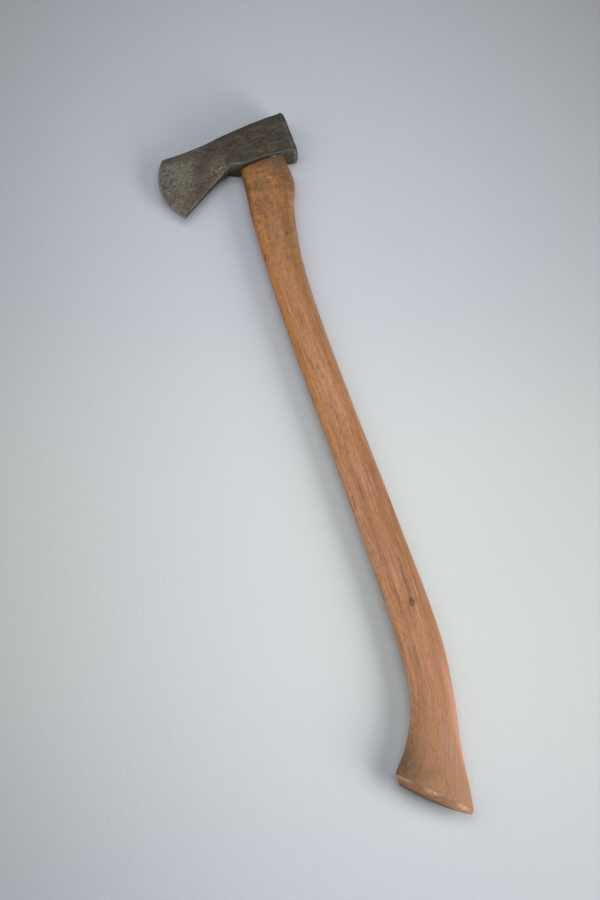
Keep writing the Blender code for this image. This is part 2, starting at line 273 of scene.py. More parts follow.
head = {
    "half": 0.0120,  # half the thickness over the cheeks
    "toe": (-0.0846, 0.0268),
    "heel": (-0.0776, -0.0330),
    "edgeBulge": 0.0114,
    "dip": (-0.0420, 0.0294),
    "brow": (0.0045, 0.0376),
    "buttTop": (0.0292, 0.0407),
    "buttFoot": (0.0329, -0.0008),
    "throat": (-0.0295, 0.0024),
    "beardLine": (  # lower edge of the blade
        (-0.0776, -0.0330), (-0.0640, -0.0225), (-0.0510, -0.0127),
        (-0.0405, -0.0053), (-0.0335, -0.0004), (-0.0295, 0.0024),
    ),
    "beardPace": 0.3,  # rings drawn on towards the throat
    "soleLine": (  # underside, from throat to butt
        (-0.0295, 0.0024), (-0.0250, 0.0013), (-0.0200, -0.0001),
        (-0.0100, 0.0006), (0.0000, 0.0012), (0.0100, 0.0010),
        (0.0200, 0.0005), (0.0295, -0.0008),
    ),
    "footHalf": (  # half the thickness along both lines
        (-0.0776, 0.0002), (-0.0735, 0.0020), (-0.0620, 0.0025),
        (-0.0450, 0.0030), (-0.0360, 0.0036), (-0.0325, 0.0056),
        (-0.0295, 0.0095), (-0.0265, 0.0117), (-0.0240, 0.0120),
    ),
    "footBevel": (  # width of the bevel along both lines
        (-0.0776, 0.0010), (-0.0400, 0.0010), (-0.0295, 0.0007),
        (-0.0150, 0.0009), (0.0100, 0.0016), (0.0200, 0.0021),
        (0.0295, 0.0030),
    ),
    "thinReach": 0.5,  # share of the height over which the foot's thinness runs out
    "edgeHalf": 0.0002,
    "grindDepth": 0.0080,
    "grindHalf": 0.0025,
    "hollow": 1.4,
    "bevel": 0.0016,
    "bevelEase": 0.0005,
    "buttRound": 0.0034,
    "rootEase": 0.0060,  # over which the blade's flare runs out into the cheek
    "easeShare": 0.9,  # of the way to the edge, where that is shorter
    "bevelShare": 0.8,  # of the thickness, at most
    "bladeRings": 100,
    "ringPace": 1.15,  # closer at the edge
    "pollRings": 60,
    "columns": 60,
    "across": 16,
    "dent": 0.00014,
    "dentSize": 0.0100,
    "pock": 0.00005,
    "pockSize": 0.0022,
    "pockSeed": (7, 3, 1),
    "ding": 0.00045,
    "dingSize": 0.0034,
    "dingSeed": (2, 9, 4),
    "dingRest": 0.12,  # noise that leaves no ding
    "wearReach": 0.0006,  # to the blank's nearest point, for its wear
    "normalReach": 0.0012,  # and for its direction
    "sharp": 28,  # degrees from which an edge is shaded sharp
    "bump": 0.00025,
    "rubTurn": radians(-8),
}
footWear = (0.3, 0.9, 0.9, 0.4, 0.1, 0.1, 0.1, 0.3, 0.2, 0.1)  # over a bevel, from the cheek outward
topWear = (0.1, 0.2, 0.3, 0.1, 0.0, 0.0, 0.1, 0.2, 0.2, 0.1)
buttWear = (1.0, 1.0, 0.8, 0.3, 0.0, 0.0, 0.0, 0.1, 0.2, 0.1)
eye = {"length": 0.0400, "width": 0.0160, "squareness": 2.4, "sides": 96, "low": -0.05, "high": 0.08}
weld = {"toe": -0.0521, "heel": -0.0696, "depth": 0.0080, "spread": 0.0100, "ahead": -0.2}
steelLine = (  # height and place of the line where the steel's lighter tone starts
    (-0.0303, -0.0724), (-0.0188, -0.0696), (-0.0009, -0.0644),
    (0.0156, -0.0569), (0.0260, -0.0508),
)


def headTop(x):
    return through((head["toe"], head["dip"], head["brow"], head["buttTop"]), x)


def edgeArc():  # chord of the cutting edge, way along it, way ahead of it, radius
    chord = Vector(head["toe"]) - Vector(head["heel"])
    along = chord.normalized()
    radius = (chord.length_squared / 4 + head["edgeBulge"] ** 2) / (2 * head["edgeBulge"])
    return chord, along, Vector((-along.y, along.x)), radius


def edgeBow(v):  # from the chord out to the arc
    chord, along, ahead, radius = edgeArc()
    angle = (2 * v - 1) * asin(chord.length / 2 / radius)
    onArc = along * (radius * sin(angle) - (v - 0.5) * chord.length)
    return onArc + ahead * (radius * cos(angle) - radius + head["edgeBulge"])


def behindEdge(x, y):
    ahead, radius = edgeArc()[2:]
    middle = (Vector(head["toe"]) + Vector(head["heel"])) / 2 + ahead * (head["edgeBulge"] - radius)
    return radius - (Vector((x, y)) - middle).length if x < middle.x else radius


def sharpHalf(x):  # half the thickness at a place along the top line
    length = head["throat"][0] - head["toe"][0]
    grind = head["grindDepth"] / (length + head["edgeBulge"])
    s = max((x - head["toe"][0]) / length, 0)
    if s >= 1:
        return head["half"]
    if s < grind:
        return head["edgeHalf"] + (head["grindHalf"] - head["edgeHalf"]) * s / grind
    flare = ((s - grind) / (1 - grind)) ** head["hollow"]
    return head["grindHalf"] + (head["half"] - head["grindHalf"]) * flare


def easedHalf(x):
    reach = min(head["rootEase"], head["easeShare"] * (x - head["toe"][0]))
    shares = [k / 4 for k in range(-4, 5)]
    return sum(sharpHalf(x + reach * share) for share in shares) / len(shares)


def bevelSteps(width, ease):  # (way to the corner, depth under the cheek), from the cheek over a bevel
    slant = 0.7 * ease  # about as far down as across
    first = ((width + ease, 0), (width, 0), (width - slant, slant))
    second = ((slant, width - slant), (0, width), (0, width + ease))
    return [eased(*bend, t) for bend in (first, second) for t in (0, 0.3, 0.5, 0.7, 1)]


def roundSteps(radius):  # the same over a quarter round
    turns = [radians(90 * k / (len(buttWear) - 1)) for k in range(len(buttWear))]
    return [(radius * (1 - sin(turn)), radius * (1 - cos(turn))) for turn in turns]


def headRing(foot, top, half, footHalf, bow=None):
    footBevel = through(head["footBevel"], min(foot.x, head["footBevel"][-1][0]))
    length = (top - foot).length
    ends = []
    for bevel in (footBevel, head["bevel"]):
        room = min(1, head["bevelShare"] * half / (bevel + head["bevelEase"]))
        ends.append(bevelSteps(bevel * room, head["bevelEase"] * room))
    low, high = ends[0][0][0] / length, 1 - ends[1][0][0] / length
    side = [(u / length, half - w) for u, w in reversed(ends[0])]
    side += [(low + (high - low) * k / head["columns"], half) for k in range(1, head["columns"])]
    side += [(1 - u / length, half - w) for u, w in ends[1]]
    upper, lower = [], []
    for v, z in side:
        x, y = foot.lerp(top, v) + (bow(v) if bow else Vector((0, 0)))
        z *= 1 - (1 - footHalf / half) * max(0, 1 - v / head["thinReach"]) ** 2
        upper.append(Vector((x, y, z)))
        lower.append(Vector((x, y, -z)))
    shares = [k / head["across"] for k in range(1, head["across"])]
    over = [upper[-1].lerp(lower[-1], t) for t in shares]
    under = [lower[0].lerp(upper[0], t) for t in shares]
    return upper + over + lower[::-1] + under


def bladeRing(s):  # from the edge at 0 to the throat at 1
    toe, heel, throat = Vector(head["toe"]), Vector(head["heel"]), Vector(head["throat"])
    x = toe.x + (throat.x - toe.x) * s
    low = heel.x + (throat.x - heel.x) * (s + head["beardPace"] * s * (1 - s))
    foot = Vector((low, through(head["beardLine"], low)))
    halves = (easedHalf(x), through(head["footHalf"], low))
    return headRing(foot, Vector((x, headTop(x))), *halves, lambda v: edgeBow(v) * (1 - s) ** 2)


def headRings():
    count = head["bladeRings"]
    rings = [bladeRing((k / count) ** head["ringPace"]) for k in range(count)]
    throat, buttTop, buttFoot = (Vector(head[name]) for name in ("throat", "buttTop", "buttFoot"))
    up = (buttTop - buttFoot).normalized()
    back = Vector((-head["buttRound"], 0))
    for k in range(head["pollRings"]):
        s = k / head["pollRings"]
        x = throat.x + (buttTop.x + back.x - throat.x) * s
        low = throat.x + (buttFoot.x + back.x - throat.x) * s
        foot = Vector((low, through(head["soleLine"], low)))
        footHalf = through(head["footHalf"], min(low, head["footHalf"][-1][0]))
        rings.append(headRing(foot, Vector((x, headTop(x))), easedHalf(x), footHalf))
    for u, w in roundSteps(head["buttRound"]):
        ahead, half = Vector((-u, 0)), head["half"] - w
        rings.append(headRing(buttFoot + ahead + up * w, buttTop + ahead - up * w, half, half))
    return rings


def closeRing(mesh, ring):  # a grid from the upper side to the lower one
    inside = head["across"] - 1
    rows = len(ring) // 2 - inside
    upper, over = ring[:rows], ring[rows:rows + inside]
    lower, under = ring[rows + inside:2 * rows + inside][::-1], ring[2 * rows + inside:][::-1]
    lines = []
    for k in range(rows):
        row = over if k else under
        if 0 < k < rows - 1:
            shares = [(j + 1) / head["across"] for j in range(inside)]
            row = [mesh.verts.new(upper[k].co.lerp(lower[k].co, t)) for t in shares]
        lines.append([upper[k], *row, lower[k]])
    for first, second in zip(lines, lines[1:]):
        for j in range(head["across"]):
            mesh.faces.new((first[j], first[j + 1], second[j + 1], second[j]))


def headWear(rings):  # how rubbed each point is, in the order of the points
    inside = head["across"] - 1
    side = footWear[::-1] + (0,) * (head["columns"] - 1) + topWear
    section = side + (0,) * inside + side[::-1] + (0,) * inside
    wear = []
    for k in range(len(rings)):
        over = k - (len(rings) - len(buttWear))
        butt = buttWear[over] if over >= 0 else 0
        wear += [max(share, butt) for share in section]
    return wear


def hammer(mesh, wear):  # forged unevenness, pocks, and dings along the bevels
    mesh.normal_update()
    shifts = []
    for k, vert in enumerate(mesh.verts):
        shift = head["dent"] * noise.noise(vert.co / head["dentSize"])
        shift += head["pock"] * noise.noise(vert.co / head["pockSize"] + Vector(head["pockSeed"]))
        hit = max(0, noise.noise(vert.co / head["dingSize"] + Vector(head["dingSeed"])) - head["dingRest"])
        shift -= head["ding"] * hit * (k < len(wear) and wear[k])
        held = behindEdge(*vert.co.xy) / head["grindDepth"]  # none at the edge
        shifts.append(shift * min(max(held, 0), 1))
    for vert, shift in zip(mesh.verts, shifts):
        vert.co += vert.normal * shift


def headBlank():
    rings = headRings()
    wear = headWear(rings)
    mesh = bmesh.new()
    loops = skin(mesh, rings)
    closeRing(mesh, loops[0])
    closeRing(mesh, loops[-1])
    bmesh.ops.recalc_face_normals(mesh, faces=mesh.faces)
    hammer(mesh, wear)
    return bmeshObject("blank", mesh), wear


def ovalPoint(angle, shape):
    parts = []
    for share, size in ((cos(angle), shape["length"]), (sin(angle), shape["width"])):
        part = abs(share) ** (2 / shape["squareness"]) * size / 2
        parts.append(part if share > 0 else -part)
    return parts


def eyeCutter():
    outline = [ovalPoint(radians(360 * k / eye["sides"]), eye) for k in range(eye["sides"])]
    return prism("eyeCutter", *([(x, eye[end], z) for x, z in outline] for end in ("low", "high")))


def weldCutter():  # a V on the centre plane that holds everything ahead of the weld
    far = 2 * head["half"]
    low, high = head["heel"][1], head["toe"][1]

    def outline(x, y):
        ahead, flank = weld["ahead"], x + weld["depth"] * (1 - 2 * far / weld["spread"])
        vee = ((ahead, -far), (flank, -far), (x + weld["depth"], 0), (flank, far), (ahead, far))
        return [(a, y, z) for a, z in vee]

    run, rise = weld["toe"] - weld["heel"], high - low
    below = outline(weld["heel"] - run, low - rise)
    return prism("weldCutter", below, outline(weld["toe"] + run, high + rise))


def markHead(piece, blank, wear):  # what the finishes need to know at each point
    tree = kdtree.KDTree(len(wear))
    for k in range(len(wear)):
        tree.insert(blank.data.vertices[k].co, k)
    tree.balance()
    marks = {"worn": [], "steel": [], "behind": [], "flank": [], "beard": []}
    for vert in piece.data.vertices:
        x, y = vert.co.xy
        index, far = tree.find(vert.co)[1:]
        marks["worn"].append(wear[index] if far < head["wearReach"] else 0)
        height = min(max(y, steelLine[0][0]), steelLine[-1][0])
        marks["steel"].append(through(steelLine, height) - x)
        marks["behind"].append(behindEdge(x, y))
        normal = blank.data.vertices[index].normal if far < head["normalReach"] else vert.normal
        marks["flank"].append(1 - abs(normal.z))
        marks["beard"].append(max(-normal.y, 0) if x < head["throat"][0] else 0)
    for name, values in marks.items():
        setAttribute(piece, name, "FLOAT", values)


headMarks = (  # place and reach in millimetres from the eye's mouth, strength, tone
    ((31, 10.5, 10.8), (1, 1, 1.6), 0.45, (160, 156, 144)),  # bright nick, butt
    ((4, 1.8, 11), (25, 1.2, 1.4), 0.6, (38, 37, 30)),  # painted shade where the haft seats
    ((24, -0.6, 4), (9, 4, 9), 0.30, (84, 84, 74)),  # underside of the poll
    ((-24, 0.8, 3), (8, 2.2, 9), 0.45, (92, 92, 82)),  # and of the throat
    ((-33, 2, 11), (8, 3, 6), 0.35, (150, 140, 122)),  # rubbed throat
    ((-24, 1.8, 11.6), (5.5, 0.6, 1), 0.55, (138, 138, 132)),
    ((0, 33, 12), (32, 6, 6), 0.40, (54, 51, 39)),  # darker along the top
    ((-39.5, 11, 9.5), (8.5, 7.5, 6), 0.35, (116, 106, 90)),  # root of the blade
    ((-52, 19, 8), (8, 4, 8), 0.45, (72, 62, 55)),  # dark patches of scale
    ((-54.5, 2, 7), (5, 13, 8), 0.50, (80, 70, 66)),
    ((-70, 23.6, 4), (20, 4.2, 10), 0.60, (52, 52, 42)),  # along the top of the bit
    ((-70, 7, 6), (8, 10, 10), 0.50, (126, 122, 108)),  # rubbed bright
    ((-76, -7, 5), (6, 8, 8), 0.25, (80, 62, 50)),
    ((-69.5, -21.5, 5), (12, 10, 8), 0.40, (84, 69, 57)),
)
throatCrumbs = ((-38, 2, 10), (10, 6, 8))  # place and reach of pale specks
headClouds = {  # stretch, detail, roughness, distortion
    "broad": ((75, 75, 75), 3.0),
    "film": ((110, 170, 140), 4.0, 0.6, 0.8),
    "middle": ((290, 290, 290), 4.0, 0.6),
    "specks": ((760, 760, 760), 2.0),
    "fine": ((1500, 1500, 1500), 3.0),
    "pits": ((430, 430, 430), 4.0, 0.7),
}
rubClouds = {  # the same, turned the way hands rub
    "strokes": ((60, 420, 200), 3.0, 0.6, 0.6),
    "smudge": ((60, 170, 90), 3.0, 0.6, 1.0),
}
ironTones = ((0.34, (53, 51, 39)), (0.48, (70, 62, 49)), (0.64, (75, 59, 45)))
ironLayers = (
    ((56, 55, 40), ("film", 0.50, 0.62, 0.0, 0.80)),  # olive film
    ((67, 51, 43), ("film", 0.48, 0.36, 0.0, 0.70)),  # purple-brown scale
    ((47, 41, 33), ("middle", 0.52, 0.66, 0.0, 0.55)),
    ((98, 91, 78), ("smudge", 0.52, 0.66, 0.0, 0.65)),  # rubbed by hands
    ((100, 93, 80), ("strokes", 0.54, 0.68, 0.0, 0.50)),
    ((114, 102, 86), ("specks", 0.56, 0.68, 0.0, 0.55)),
)
brightTones = ((0.34, (88, 83, 69)), (0.50, (114, 109, 95)), (0.66, (140, 134, 120)))
brightLayers = (
    ((92, 84, 71), ("film", 0.50, 0.64, 0.0, 0.60)),
    ((62, 48, 38), "pitted", 0.80),
    ((80, 54, 40), ("specks", 0.54, 0.64), ("middle", 0.46, 0.60, 0.0, 0.80)),  # rust
)
# dark scale with painted shade, for the faces turned from the cheeks
crustAndShadeTones = ((0.36, (52, 53, 44)), (0.50, (67, 66, 57)), (0.64, (82, 76, 64)))
crustAndShadeLayers = (
    ((98, 84, 66), ("specks", 0.58, 0.66, 0.0, 0.55)),
    # painted shade on the faces under the beard
    ((38, 40, 34), ("beard", 0.60, 0.76, 0.0, 0.75)),
)
headLayers = (
    ((158, 150, 134), "crumbs", ("specks", 0.54, 0.64, 0.0, 0.50)),
    ((140, 139, 130), ("behind", 0.0018, 0.0004), 0.6),  # honed edge
    ((52, 47, 42), ("fine", 0.46, 0.68, 0.0, 0.22)),
)


def headFinish(name):
    material, tree, shader = newMaterial(name)
    place = eyePlace(tree)
    turned = addNode(tree, "ShaderNodeVectorRotate", place, rotation_type="Z_AXIS")
    turned.inputs["Angle"].default_value = head["rubTurn"]
    fields = {mark: attribute(tree, mark) for mark in ("worn", "steel", "behind", "flank", "beard")}
    fields.update(clouds(place, headClouds))
    fields.update(clouds(turned.outputs[0], rubClouds))
    broad, film, middle, fine = (fields[cloudName] for cloudName in ("broad", "film", "middle", "fine"))
    pitted = times(step(fields["pits"], 0.54, 0.66), step(broad, 0.36, 0.56))
    fields.update({"pitted": pitted, "crumbs": spot(place, *throatCrumbs, 0.8)})

    iron = paintLayers(ramp(broad, ironTones), fields, ironLayers)
    bright = paintLayers(ramp(middle, brightTones), fields, brightLayers)
    crustAndShade = paintLayers(ramp(film, crustAndShadeTones), fields, crustAndShadeLayers)
    line = calc("MULTIPLY_ADD", film, 0.046, calc("MULTIPLY_ADD", middle, 0.016, -0.031))
    ahead = step(calc("ADD", fields["steel"], line), -0.011, 0.008)
    rubbed = times(fields["worn"], step(middle, 0.36, 0.60))
    turnedAway = step(fields["flank"], 0.12, 0.34, 0.0, 0.85)
    dullAndShaded = calc("MAXIMUM", calc("SUBTRACT", turnedAway, times(rubbed, 0.6)), 0.0)
    colour = blend(ahead, iron, bright)
    colour = blend(dullAndShaded, colour, crustAndShade)  # dark scale left on top, butt and underside, with painted shade on every face turned from the cheeks
    colour = blend(times(rubbed, 0.65), colour, tone(132, 133, 126))
    colour = paintMarks(colour, place, headMarks, step(middle, 0.35, 0.55))
    feed(paintLayers(colour, fields, headLayers), shader.inputs["Base Color"])

    bare = calc("SUBTRACT", 1.0, dullAndShaded)
    feed(times(step(rubbed, 0.0, 1.0, 0.30, 0.75), bare), shader.inputs["Metallic"])
    gloss = step(calc("MULTIPLY_ADD", rubbed, -0.3, middle), 0.25, 0.75, 0.46, 0.66)
    feed(calc("MULTIPLY_ADD", dullAndShaded, 0.25, gloss), shader.inputs["Roughness"])
    feed(step(dullAndShaded, 0.0, 0.85, 0.5, 0.2), shader.inputs["Specular IOR Level"])
    height = calc("MULTIPLY_ADD", fields["strokes"], 0.5, middle)
    height = calc("MULTIPLY_ADD", fine, 0.3, height)
    addBump(shader, calc("SUBTRACT", height, pitted), head["bump"])
    return material


blank, wear = headBlank()
eyeTool, weldTool = eyeCutter(), weldCutter()
headBody = cut(meshObject("head", blank.data.copy()), ("DIFFERENCE", eyeTool), ("DIFFERENCE", weldTool))
steelBit = cut(meshObject("steelBit", blank.data.copy()), ("INTERSECT", weldTool))
for piece, slot, node in ((headBody, "forged_iron", "head_body"), (steelBit, "bit_steel", "steel_bit")):
    markHead(piece, blank, wear)
    settle(piece, head["sharp"], headFinish(slot + "Finish"), slot, node)
discard(blank, eyeTool, weldTool)


# Haft: rings down a curved path, lofted by Geometry Nodes

haft = {
    "stations": (  # drop below the eye's mouth, set to the poll, width, thickness, lean in degrees
        (-0.0001, 0.0000, 0.0404, 0.0222, -7.0),
        (0.0237, 0.0014, 0.0434, 0.0224, 0.0),
        (0.0462, -0.0023, 0.0386, 0.0220, 0.0),
        (0.0962, -0.0042, 0.0319, 0.0212, 0.0),
        (0.1662, -0.0010, 0.0306, 0.0206, 0.0),
        (0.3312, 0.0130, 0.0324, 0.0212, 0.0),
        (0.4362, 0.0201, 0.0347, 0.0220, 0.0),
        (0.4862, 0.0166, 0.0354, 0.0224, 4.0),
        (0.5212, 0.0071, 0.0449, 0.0234, 18.0),
        (0.5520, -0.0009, 0.0660, 0.0240, 39.2),
    ),
    "seatBow": (-0.0008, 0.020),  # rise of the shoulder's middle, and the drop where it has run out
    "seatLean": radians(-1.2),
    "seatRound": 0.0012,
    "ledge": (0.0004, 0.0036),  # the flat shoulder's width and thickness past the tongue's
    "rimEase": 0.0007,
    "seatFull": (-0.60, 0.030),  # thicker behind, up to this drop
    "knobTaper": 0.35,
    "end": (0.5572, -0.0014, 0.0604, 0.0110, radians(36.4), 0.35, 0.0025),  # also taper and bow
    "tongue": (0.0394, 0.0154),
    "tongueRings": 20,
    "tongueEase": 0.0008,
    "proud": 0.0008,  # of the tongue above the head
    "slotTop": 0.030,  # points of a wedge above this are its top
    "slotOpen": 0.004,
    "length": 0.575,  # from the eye's mouth to the knob's toe, for the tones
    "spacing": 0.0016,
    "sides": 112,
    "squareness": 2.4,
    "wander": 0.00022,  # unevenness left by the drawknife
    "wanderSize": 0.0085,
    "seed": 11,
    "sharp": 50,
    "bump": 0.0004,
    "specular": 0.35,
}


def haftBody(drop):
    rows = haft["stations"]
    offset, width, thick, lean = (through([(row[0], row[i]) for row in rows], drop) for i in range(1, 5))
    rise, reach = haft["seatBow"]
    bow = rise * max(0, 1 - (drop - rows[0][0]) / reach) ** 2
    full, end = haft["seatFull"]
    taper = full * max(0, 1 - (drop - rows[0][0]) / end) ** 2
    taper += haft["knobTaper"] * max(0, lean) / rows[-1][4]
    return (drop, offset, width, thick, radians(lean), taper, bow)


def inset(ring, share):  # the same face, drawn in towards its middle
    drop, offset, width, thick, lean, taper, bow = ring
    sink = bow * (1 - share * share)
    place = (drop + sink * cos(lean), offset - sink * sin(lean))
    return (*place, width * share, thick * share, lean, taper * share * share, bow * share * share)


def haftRings():
    length, width = haft["tongue"]
    seat, rim = haft["stations"][0], haft["stations"][-1][0]
    front, middle, back = (headTop(x) + haft["proud"] for x in (-length / 2, 0, length / 2))
    lean = -atan((back - front) / length)
    mean = (front + back) / 2
    top, under = ((low - mean, 0, length / cos(lean), width, lean, 0, mean - middle)
                  for low in (0, haft["tongueEase"]))
    sit = (haft["seatLean"], 0, haft["seatBow"][0])
    foot = (seat[0], 0, length, width, *sit)
    ledge = (seat[0], 0, length + haft["ledge"][0], width + haft["ledge"][1], *sit)
    rings = [inset(top, share) for share in (0, 0.2, 0.4, 0.6, 0.75, 0.88)]
    rings += [eased(inset(top, 0.95), top, under, t) for t in (0, 0.25, 0.5, 0.75, 1)]
    rings += [mixed(under, foot, (k + 1) / haft["tongueRings"]) for k in range(haft["tongueRings"])]
    start, stop = seat[0] + haft["seatRound"], rim - haft["rimEase"]
    rings += [eased(ledge, haftBody(seat[0]), haftBody(start), t) for t in (0, 0.25, 0.5, 0.75, 1)]
    count = round((stop - start) / haft["spacing"])
    rings += [haftBody(start + (stop - start) * k / count) for k in range(1, count)]
    end, edge = haft["end"], haftBody(rim)
    rings += [eased(haftBody(stop), edge, mixed(edge, end, 0.12), k / 5) for k in range(6)]
    rings += [mixed(edge, end, share) for share in (0.24, 0.36, 0.48, 0.60, 0.72, 0.82)]
    rings += [eased(mixed(edge, end, 0.90), end, inset(end, 0.96), k / 5) for k in range(6)]
    return rings + [inset(end, share) for share in (0.90, 0.82, 0.72, 0.6, 0.46, 0.32, 0.18, 0.08, 0)]


def haftLoft():
    tree = bpy.data.node_groups.new("haftLoft", "GeometryNodeTree")
    inputs = {}
    kinds = {"Spine": "Geometry", "Sides": "Int", "Squareness": "Float", "Wander": "Float"}
    kinds.update({"Wander Size": "Float", "Seed": "Int", "Finish": "Material"})
    for name, kind in kinds.items():
        socket = tree.interface.new_socket(name=name, in_out="INPUT", socket_type="NodeSocket" + kind)
        inputs[name] = socket.identifier
    tree.interface.new_socket(name="Geometry", in_out="OUTPUT", socket_type="NodeSocketGeometry")
    given = tree.nodes.new("NodeGroupInput").outputs

    count = addNode(tree, "GeometryNodeAttributeDomainSize", given["Spine"]).outputs["Point Count"]
    around = calc("ADD", given["Sides"], 1.0)
    grid = addNode(tree, "GeometryNodeMeshGrid", 1.0, 1.0, count, around)
    index = addNode(tree, "GeometryNodeInputIndex").outputs[0]
    ring = calc("FLOOR", calc("DIVIDE", calc("ADD", index, 0.5), around))
    side = calc("SUBTRACT", index, times(ring, around))
    angle = times(calc("DIVIDE", side, given["Sides"]), radians(360))

    def sampled(name):
        field = addNode(tree, "GeometryNodeInputNamedAttribute", name, data_type="FLOAT_VECTOR").outputs[0]
        node = addNode(tree, "GeometryNodeSampleIndex", data_type="FLOAT_VECTOR", domain="POINT")
        feed(given["Spine"], node.inputs["Geometry"])
        feed(field, node.inputs["Value"])
        feed(ring, node.inputs["Index"])
        return addNode(tree, "ShaderNodeSeparateXYZ", node.outputs[0]).outputs

    def squared(operation):  # a superellipse's cosine or sine
        wave = calc(operation, angle)
        exponent = calc("DIVIDE", 2.0, given["Squareness"])
        power = calc("POWER", calc("ABSOLUTE", wave), exponent)
        return times(power, calc("SIGN", wave))

    drop, offset, lean = sampled("path")
    width, thick, taper = sampled("section")
    bow = sampled("crown")[0]
    share, rise = squared("COSINE"), squared("SINE")
    along = times(share, times(width, 0.5))
    down = times(bow, calc("SUBTRACT", 1.0, times(share, share)))
    cosine, sine = calc("COSINE", lean), calc("SINE", lean)
    x = calc("ADD", offset, times(along, cosine))
    x = calc("SUBTRACT", x, times(down, sine))
    y = calc("ADD", drop, times(along, sine))
    y = times(calc("ADD", y, times(down, cosine)), -1.0)
    back = calc("MAXIMUM", share, 0.0)
    thinned = calc("SUBTRACT", 1.0, times(taper, times(back, back)))
    z = times(rise, times(thick, 0.5), thinned)
    place = addNode(tree, "ShaderNodeCombineXYZ", x, y, z).outputs[0]
    shaped = addNode(tree, "GeometryNodeSetPosition", grid.outputs["Mesh"])
    feed(place, shaped.inputs["Position"])
    merged = addNode(tree, "GeometryNodeMergeByDistance", shaped.outputs[0])
    merged.inputs["Distance"].default_value = 0.00001  # joins the seam and both ends
    outward = addNode(tree, "GeometryNodeFlipFaces", merged.outputs[0])

    position = addNode(tree, "GeometryNodeInputPosition").outputs[0]
    size = given["Wander Size"]
    sizes = addNode(tree, "ShaderNodeCombineXYZ", size, times(size, 3.0), size).outputs[0]
    scaled = vector("DIVIDE", position, sizes)
    drift = addNode(tree, "ShaderNodeTexNoise", scaled, noise_dimensions="4D")
    feed(given["Seed"], drift.inputs["W"])
    drift.inputs["Scale"].default_value = 1
    shift = times(calc("SUBTRACT", drift.outputs["Fac"], 0.5), given["Wander"])
    normal = addNode(tree, "GeometryNodeInputNormal").outputs[0]
    push = addNode(tree, "ShaderNodeVectorMath", normal, operation="SCALE")
    feed(shift, push.inputs["Scale"])
    worked = addNode(tree, "GeometryNodeSetPosition", outward.outputs[0])
    feed(push.outputs[0], worked.inputs["Offset"])
    real = addNode(tree, "GeometryNodeRealizeInstances", worked.outputs[0])
    finished = addNode(tree, "GeometryNodeSetMaterial", real.outputs[0])
    feed(given["Finish"], finished.inputs["Material"])
    addNode(tree, "NodeGroupOutput", finished.outputs[0])
    return tree, inputs


def haftPiece(material):
    rings = haftRings()
    data = bpy.data.meshes.new("woodHaft")
    data.from_pydata([(0, -ring[0], 0) for ring in rings], [], [])
    piece = meshObject("woodHaft", data)
    for name, parts in (("path", (0, 1, 4)), ("section", (2, 3, 5)), ("crown", (6, 6, 6))):
        setAttribute(piece, name, "FLOAT_VECTOR", [ring[i] for ring in rings for i in parts])
    tree, inputs = haftLoft()
    modifier = piece.modifiers.new("loft", "NODES")
    modifier.node_group = tree
    settings = {"Sides": haft["sides"], "Squareness": haft["squareness"], "Wander": haft["wander"]}
    settings.update({"Wander Size": haft["wanderSize"], "Seed": haft["seed"], "Finish": material})
    for name, value in settings.items():
        modifier[inputs[name]] = value
    return plainMesh(piece)


scars = (  # millimetres: place from the eye's mouth, size across, along and up, depth
    ((-19, -89, 4), (3, 4, 8), 0.6),  # nick in the front edge
    ((-12.8, -542.5, 9), (1.4, 5, 6), 0.6),  # split in the knob's rim
    ((18.7, -568.6, 6), (3, 2.4, 6), 0.55),  # chips at the knob's toe
    ((23, -566, 5), (1.8, 2, 5), 0.45),
    ((6, -556, 7), (4, 1.6, 5), 0.35),
    ((21.5, -406, 11), (1.6, 2, 5), 0.3),  # round the knot
    ((10.5, 1, 11), (2.4, 1.2, 3), 0.4),  # chipped shoulder
)


def scar(piece):
    for place, size, depth in scars:
        place, size = Vector(metres(place)), metres(size)
        for vert in piece.data.vertices:
            offset = vert.co - place
            far = sum((offset[i] / size[i]) ** 2 for i in range(3))
            if far < 1:
                vert.co -= vert.normal * depth / 1000 * (1 - far) ** 2


def wedgeCopy(name):  # a wedge's own solid, with its points joined
    mesh = bmesh.new()
    mesh.from_mesh(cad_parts[name].data)
    bmesh.ops.remove_doubles(mesh, verts=mesh.verts, dist=0.000001)
    bmesh.ops.translate(mesh, verts=mesh.verts, vec=-eyeMouth)
    return mesh


def wedgeSlot(name):  # the room that a wedge takes in the tongue, open at the top
    mesh = wedgeCopy(name)
    for vert in mesh.verts:
        if vert.co.y > haft["slotTop"]:
            vert.co.y += haft["slotOpen"]
    return bmeshObject(name + "Slot", mesh)


def markHaft(piece):
    rows = haft["stations"]
    rim, offset, lean = rows[-1][0], rows[-1][1], radians(rows[-1][4])
    grain, side, past = [], [], []
    for vert in piece.data.vertices:
        x, y, z = vert.co
        drop = min(max(-y, rows[0][0]), rim)
        middle, width = (through([(row[0], row[i]) for row in rows], drop) for i in (1, 2))
        grain += (x - middle, -y, z)
        side.append((x - middle) / width * 2)
        past.append((offset - x) * sin(lean) - (y + rim) * cos(lean))  # beyond the plane of the knob's rim
    setAttribute(piece, "grain", "FLOAT_VECTOR", grain)
    setAttribute(piece, "side", "FLOAT", side)
    setAttribute(piece, "past", "FLOAT", past)


